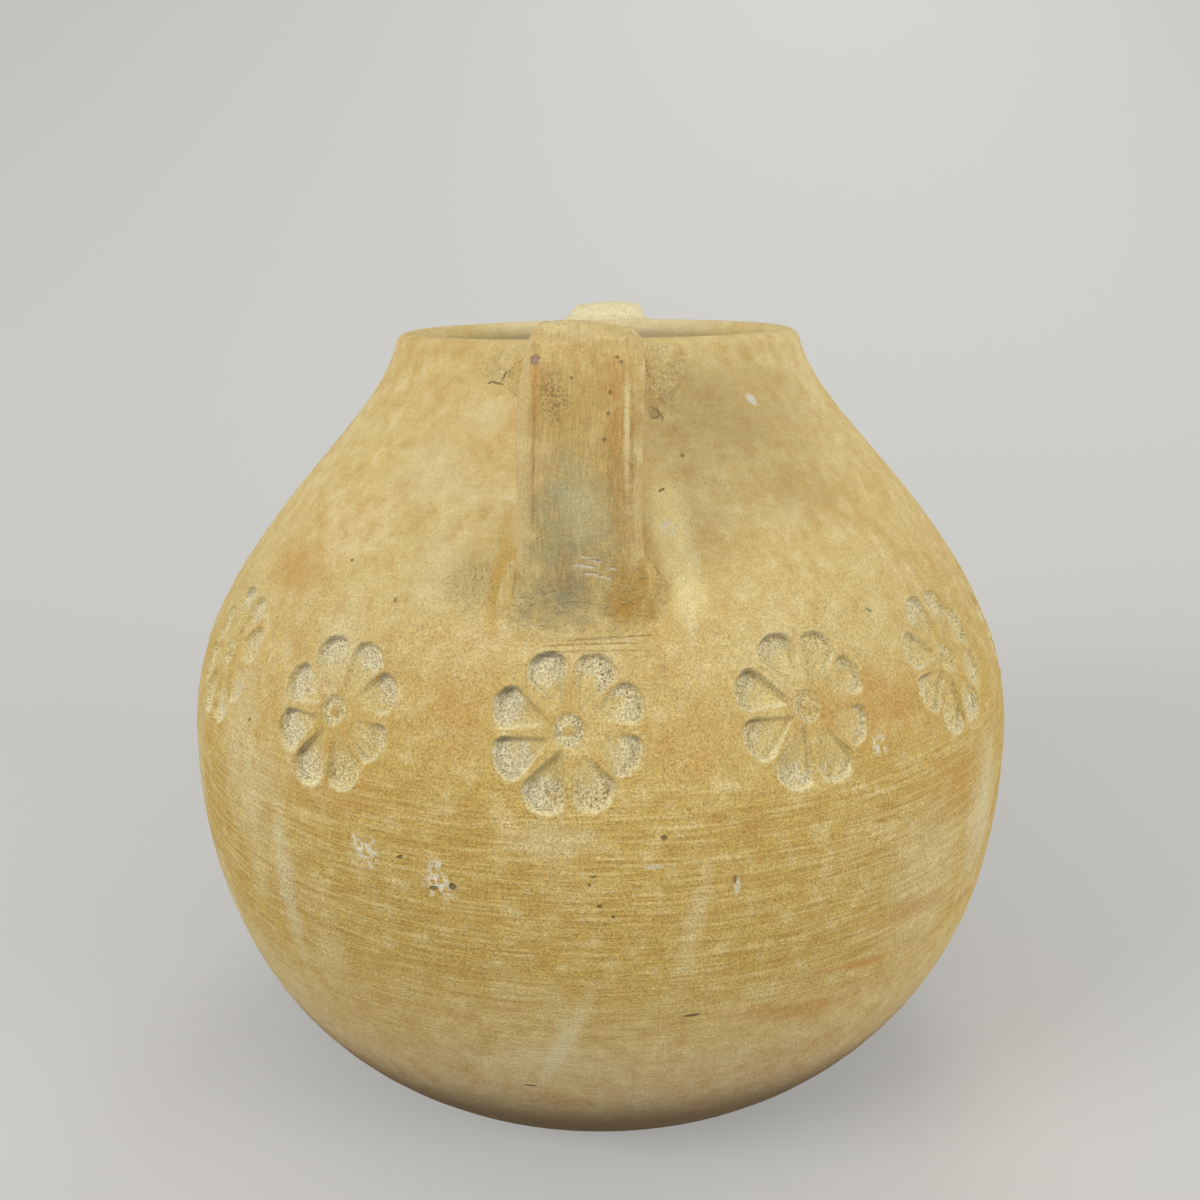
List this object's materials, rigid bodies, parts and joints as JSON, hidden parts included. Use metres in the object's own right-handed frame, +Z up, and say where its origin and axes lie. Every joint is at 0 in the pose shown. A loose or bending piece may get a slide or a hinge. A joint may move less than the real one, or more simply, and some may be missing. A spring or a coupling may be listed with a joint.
{
  "type": "two-handled terracotta jar planter",
  "caption": "Round-bellied terracotta jar planter with a drawn-in mouth, strap handles from lip to shoulder, and a band of stamped rosettes.",
  "frame": {"origin": "middle of the flat base", "axes": "+Z up through the middle of the mouth; the handles lie on Y, the front one at -Y"},
  "size_m": [0.23, 0.23, 0.2107],
  "materials": {
    "jar_clay": "matt, dusty",
    "handle_clay": "matt, dusty",
    "luting_clay": "matt, dusty"
  },
  "bodies": {
    "root": {"jar_body": "jar_clay", "front_handle": "handle_clay", "front_handle_upper_luting": "luting_clay", "front_handle_lower_luting": "luting_clay", "rear_handle": "handle_clay", "rear_handle_upper_luting": "luting_clay", "rear_handle_lower_luting": "luting_clay"}
  },
  "joints": []
}
